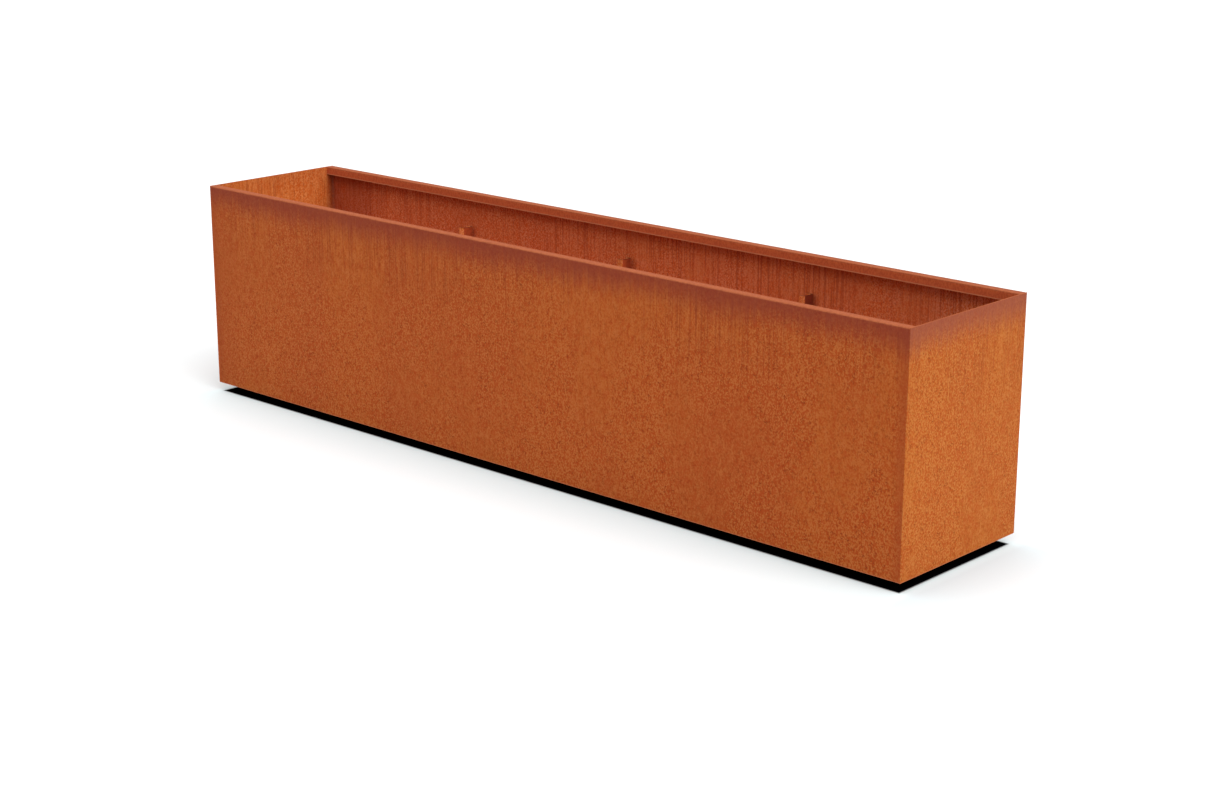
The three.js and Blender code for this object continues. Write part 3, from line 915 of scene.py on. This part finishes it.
def ties():
    """Flat bars on edge, with round ends about their bolt holes."""
    for place in PLACES:
        node = f"cross_tie_{place}"
        lowest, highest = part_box(node)
        middle = (lowest + highest) / 2
        radius = (highest.z - lowest.z) / 2
        reach = highest.y - radius
        loops = [bar_with_round_ends(reach, radius),
                 circle(reach, 0, BOLT_HOLE_RADIUS), circle(-reach, 0, BOLT_HOLE_RADIUS)]
        mesh = plate(node, loops, highest.x - lowest.x, TIE_EDGE_ROUND,
                     lambda a, b, h: (middle.x + h, middle.y + a, middle.z + b))
        piece(f"{node}_bar", mesh, INNER_RUST, [node])


def rails():
    """Hat sections standing on their brims, with the crown under the floor."""
    half = RAIL_SHEET / 2
    leg = RAIL_CROWN / 2 - half
    for index, (node, x) in enumerate(zip(RAILS, RAIL_XS)):
        lowest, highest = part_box(node)
        brim, crown = (highest.x - lowest.x) / 2, highest.z - half
        corners = [(x - brim, half), (x - leg, half), (x - leg, crown),
                   (x + leg, crown), (x + leg, half), (x + brim, half)]
        mesh = folded_sheet(node, corners, lambda a, b, along: (a, along, b), lowest.y, highest.y,
                            RAIL_SHEET, RAIL_BEND_RADIUS, RAIL_EDGE_ROUND)
        bolt_ys = [middle_of(f"rail_bolt_{side}_{index + 1}")[1] for side in SIDES]
        drills = [rod(BOLT_HOLE_RADIUS, (x, y, crown - RAIL_SHEET), (x, y, crown + RAIL_SHEET))
                  for y in bolt_ys]
        piece(f"{node}_hat", cut(mesh, drills), RAIL_RUST, [node])


# ---------------------------------------------------------------- fasteners

# M8 flanged bolts and nuts, in metres, with heights up from the seat
HEX_ACROSS_FLATS = 0.013
CHAMFER_RADIUS = 0.94 * HEX_ACROSS_FLATS / 2
CHAMFER_SLOPE = math.tan(math.radians(30))
COLLAR_RADIUS = 0.009
COLLAR_SEAT_ROUND, COLLAR_TOP_ROUND = 0.0003, 0.0002
COLLAR_RIM, COLLAR_SHOULDER = 0.0008, 0.0011
HEX_FILLET, HEX_FILLET_SCALE = 0.0017, 1.03
HEX_FOOT = 0.0022
HEAD_HEIGHT = 0.006
DISH_RADIUS, DISH_FLOOR_RADIUS, DISH_DEPTH = 0.0040, 0.0035, 0.0003
DISH_MIDDLE_RADIUS, DISH_MIDDLE_DEPTH = 0.0006, 0.0004
SHANK_RADIUS = 0.004
SHANK_START = 0.0001
GRIP = 0.0068
TIP_INSET, TIP_SHOULDER_INSET, TIP_HEIGHT, THREAD_END = 0.0011, 0.0002, 0.0009, 0.0012
THREAD_PITCH = 0.00125
THREAD_DEPTH = 0.61 * THREAD_PITCH * 0.9
NUT_BORE_RADIUS = SHANK_RADIUS + 0.0003
BORE_CHAMFER = 0.0006


def round_ring(radius, z):
    turns = [2 * math.pi * i / HEX_STEPS for i in range(HEX_STEPS)]
    return [(radius * math.cos(t), radius * math.sin(t), z) for t in turns]


def hex_radius(turn):
    """Distance from the middle of the hexagon to its side, at an angle."""
    sixth = math.pi / 3
    off = (turn % sixth) - sixth / 2
    return HEX_ACROSS_FLATS / 2 / math.cos(off)


def hex_ring(z, scale=1.0, chamfer_from=None):
    """A hexagonal ring. With chamfer_from, its corners drop as a turned chamfer leaves them."""
    ring = []
    for i in range(HEX_STEPS):
        turn = 2 * math.pi * i / HEX_STEPS
        radius = hex_radius(turn) * scale
        drop = 0.0
        if chamfer_from:
            drop = max(0.0, radius - chamfer_from) * CHAMFER_SLOPE
        ring.append((radius * math.cos(turn), radius * math.sin(turn), z - math.copysign(drop, z)))
    return ring


def thread_rings(top, bottom):
    """Rings down a threaded shank."""
    rows = round((top - bottom) / (THREAD_PITCH / STEPS_PER_THREAD))
    rings = []
    for row in range(rows + 1):
        z = top + (bottom - top) * row / rows
        fade = max(0.0, min(1.0, (z - bottom) / THREAD_PITCH, (top - z) / THREAD_PITCH))
        ring = []
        for i in range(HEX_STEPS):
            turn = 2 * math.pi * i / HEX_STEPS
            saw = (z / THREAD_PITCH + i / HEX_STEPS) % 1.0
            radius = SHANK_RADIUS - THREAD_DEPTH * abs(2 * saw - 1) * fade
            ring.append((radius * math.cos(turn), radius * math.sin(turn), z))
        rings.append(ring)
    return rings


def skin(rings, place, name, closed):
    """A mesh through rings of equal size, capped at both ends unless it closes on itself."""
    bm = bmesh.new()
    made = [[bm.verts.new(place @ Vector(p)) for p in ring] for ring in rings]
    join_rings(bm, made + made[:1] if closed else made)
    if not closed:
        bm.faces.new(made[0])
        bm.faces.new(made[-1])
    return mesh_of(name, bm)


def flange_rings(sign):
    """The round flange under a hexagon, from its seat at z 0 up to the hexagon's foot."""
    return [round_ring(COLLAR_RADIUS - COLLAR_SEAT_ROUND, 0.0),
            round_ring(COLLAR_RADIUS, sign * COLLAR_SEAT_ROUND),
            round_ring(COLLAR_RADIUS, sign * COLLAR_RIM),
            round_ring(COLLAR_RADIUS - COLLAR_TOP_ROUND, sign * COLLAR_SHOULDER),
            hex_ring(sign * HEX_FILLET, HEX_FILLET_SCALE),
            hex_ring(sign * HEX_FOOT)]


def bolt_rings(length):
    """A bolt from the tip of its threaded shank up to the shallow dish in its head."""
    tip = [round_ring(SHANK_RADIUS - TIP_INSET, -length),
           round_ring(SHANK_RADIUS - TIP_SHOULDER_INSET, -length + TIP_HEIGHT)]
    shank = thread_rings(-GRIP, -length + THREAD_END)[::-1]
    head = [hex_ring(HEAD_HEIGHT, 1.0, CHAMFER_RADIUS), round_ring(CHAMFER_RADIUS, HEAD_HEIGHT),
            round_ring(DISH_RADIUS, HEAD_HEIGHT),
            round_ring(DISH_FLOOR_RADIUS, HEAD_HEIGHT - DISH_DEPTH),
            round_ring(DISH_MIDDLE_RADIUS, HEAD_HEIGHT - DISH_MIDDLE_DEPTH)]
    return tip + shank + [round_ring(SHANK_RADIUS, -SHANK_START)] + flange_rings(1) + head


def nut_rings(height):
    """A nut from its flange down to its chamfered end, and back up through its bore."""
    mouth = NUT_BORE_RADIUS + BORE_CHAMFER
    return (flange_rings(-1)
            + [hex_ring(-height, 1.0, CHAMFER_RADIUS), round_ring(CHAMFER_RADIUS, -height),
               round_ring(mouth, -height), round_ring(NUT_BORE_RADIUS, -height + BORE_CHAMFER),
               round_ring(NUT_BORE_RADIUS, -BORE_CHAMFER), round_ring(mouth, 0.0)])


def fastener(kind, part, label, turn):
    """A bolt with its head above its seat and its shank below, or a nut that hangs below its seat."""
    node = f"{kind}_{part}_{label}"
    axis = (turn @ Vector((0, 0, 1))).normalized()
    lowest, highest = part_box(node)
    middle = (lowest + highest) / 2
    half = abs((highest - lowest).dot(axis)) / 2
    if part == "bolt":
        seat = middle + axis * (half - HEAD_HEIGHT)
        rings = bolt_rings(2 * half - HEAD_HEIGHT)
    else:
        seat = middle + axis * half
        rings = nut_rings(2 * half)
    spin = Matrix.Rotation((len(label) * 0.7 + middle.x * 3 + middle.y * 5), 4, "Z")
    mesh = skin(rings, Matrix.Translation(seat) @ turn @ spin, node, closed=part == "nut")
    piece(f"{node}_m8", mesh, ZINC, [node])


def fasteners():
    """Bolts point left through the posts and ties, or down through the floor and rails."""
    upright = Matrix.Identity(4)
    to_right = Matrix.Rotation(math.pi / 2, 4, "Y")
    groups = ([("tie", f"{side}_{place}", to_right) for side in SIDES for place in PLACES]
              + [("rail", f"{side}_{i + 1}", upright) for side in SIDES for i in range(len(RAILS))])
    for kind, label, turn in groups:
        for part in ("bolt", "nut"):
            fastener(kind, part, label, turn)


# ---------------------------------------------------------------- stage

# Linear colours of the studio floor, by where it lies from the box
PALE_FLOORS = ((0.735, 0.750, 0.755), (0.755, 0.770, 0.775))
# Near the front, a cool painted tint that cancels the box's warm bounce light
FRONT_FLOOR = (0.724, 0.806, 0.820)
# Painted shade on the floor off the box's right end
RIGHT_FLOOR_SHADE = (0.652, 0.722, 0.746)
PLAIN_FLOOR = (0.740, 0.772, 0.780)
FULL_SHADE = (0.001, 0.001, 0.0015)

# The studio floor's size and where its tones change, in metres
STUDIO_SIZE, STUDIO_CELLS, STUDIO_DROP = 40, 24, 0.0002
SHADE_START, SHADE_REACH = 0.02, 0.26
SHADE_INSET, SHADE_SOFT = 0.008, 0.004
FLOOR_TURN = 0.03

# Each sun's direction from the box, strength and width in degrees
SUNS = {"key": ((0.84, -0.12, 0.50), 2.1, 60), "overhead": ((0.0, -0.05, 1.0), 3.4, 90)}

# The backdrop's strength below and above two heights of the view's direction
BACKDROP_LOW, BACKDROP_LOW_STRENGTH = 0.15, 0.90
BACKDROP_HIGH, BACKDROP_HIGH_STRENGTH = 0.18, 0.20

# The camera, in metres, degrees and millimetres
CAMERA_PLACE = (3.8236, -3.9921, 1.7551)
CAMERA_AZIMUTH, CAMERA_ELEVATION, CAMERA_ROLL = 42.836, 16.040, 0.043
CAMERA_LENS, CAMERA_SENSOR = 64.797, 36
CAMERA_CLIP_END = 200


def studio_floor_paint():
    """A pale tone with painted light and shade: cooler close to the box and in full shade under it."""
    shader = Shader("studio_floor")
    x, y = shader.axes()[:2]
    out_x = shader.less(shader.math("ABSOLUTE", x), HALF_LENGTH)
    out_y = shader.less(shader.math("ABSOLUTE", y), HALF_DEPTH)
    past_x, past_y = (shader.math("POWER", shader.math("MAXIMUM", past, 0.0), 2.0)
                      for past in (out_x, out_y))
    away = shader.math("SQRT", shader.math("ADD", past_x, past_y))
    pale = shader.mix(shader.noise(0.8, detail=2), *PALE_FLOORS)
    near = FRONT_FLOOR
    for place, edge, turn, tone in ((x, HALF_LENGTH, FLOOR_TURN, RIGHT_FLOOR_SHADE),
                                    (x, -HALF_LENGTH, -FLOOR_TURN, PLAIN_FLOOR),
                                    (y, HALF_DEPTH, FLOOR_TURN, PLAIN_FLOOR)):
        near = shader.mix(shader.between(place, edge, edge + turn), near, tone)
    tone = shader.mix(shader.between(away, SHADE_REACH, SHADE_START), pale, near)
    lit = shader.between(shader.math("MAXIMUM", out_x, out_y), -SHADE_INSET - SHADE_SOFT,
                         -SHADE_INSET + SHADE_SOFT)
    return shader.finish(shader.mix(lit, FULL_SHADE, tone), 0.9, specular=0.0)


def ground():
    """The studio floor, a hair below the rails' feet."""
    bm = bmesh.new()
    bmesh.ops.create_grid(bm, x_segments=STUDIO_CELLS, y_segments=STUDIO_CELLS, size=STUDIO_SIZE)
    bmesh.ops.translate(bm, verts=bm.verts, vec=(0, 0, -STUDIO_DROP))
    made = bpy.data.objects.new("studio_floor", mesh_of("studio_floor", bm))
    bpy.context.scene.collection.objects.link(made)
    made.data.materials.append(studio_floor_paint())


def suns():
    """Two very wide soft lamps."""
    for name, (direction, strength, width) in SUNS.items():
        light = bpy.data.lights.new(name, "SUN")
        light.energy = strength
        light.angle = math.radians(width)
        made = bpy.data.objects.new(name, light)
        made.rotation_euler = Vector(direction).to_track_quat("Z", "Y").to_euler()
        bpy.context.scene.collection.objects.link(made)


def backdrop():
    """A plain backdrop that is pale at eye level and dim above."""
    world = bpy.data.worlds.new("studio")
    world.use_nodes = True
    nodes, links = world.node_tree.nodes, world.node_tree.links
    background = nodes["Background"]
    background.inputs["Color"].default_value = (1, 1, 1, 1)
    level = nodes.new("ShaderNodeSeparateXYZ")
    links.new(nodes.new("ShaderNodeTexCoord").outputs["Generated"], level.inputs[0])
    fade = nodes.new("ShaderNodeMapRange")
    links.new(level.outputs[2], fade.inputs["Value"])
    for name, given in (("From Min", BACKDROP_LOW), ("From Max", BACKDROP_HIGH),
                        ("To Min", BACKDROP_LOW_STRENGTH), ("To Max", BACKDROP_HIGH_STRENGTH)):
        fade.inputs[name].default_value = given
    links.new(fade.outputs[0], background.inputs["Strength"])
    bpy.context.scene.world = world
    bpy.context.scene.view_settings.view_transform = "Standard"


def camera():
    """The camera stands in front, to the right and above, and looks slightly down."""
    data = bpy.data.cameras.new("camera")
    data.sensor_width = CAMERA_SENSOR
    data.lens = CAMERA_LENS
    data.clip_end = CAMERA_CLIP_END
    azimuth, elevation, roll = (math.radians(angle) for angle in
                                (CAMERA_AZIMUTH, CAMERA_ELEVATION, CAMERA_ROLL))
    back = Vector((math.sin(azimuth) * math.cos(elevation), -math.cos(azimuth) * math.cos(elevation),
                   math.sin(elevation)))
    level = back.to_track_quat("Z", "Y")
    made = bpy.data.objects.new("camera", data)
    made.location = CAMERA_PLACE
    made.rotation_mode = "QUATERNION"
    made.rotation_quaternion = level @ Matrix.Rotation(roll, 3, "Z").to_quaternion()
    bpy.context.scene.collection.objects.link(made)
    bpy.context.scene.camera = made


long_panels()
end_panels()
floor()
corner_beads()
post_stitches()
floor_stitches()
posts()
ties()
rails()
fasteners()
ground()
suns()
backdrop()
camera()
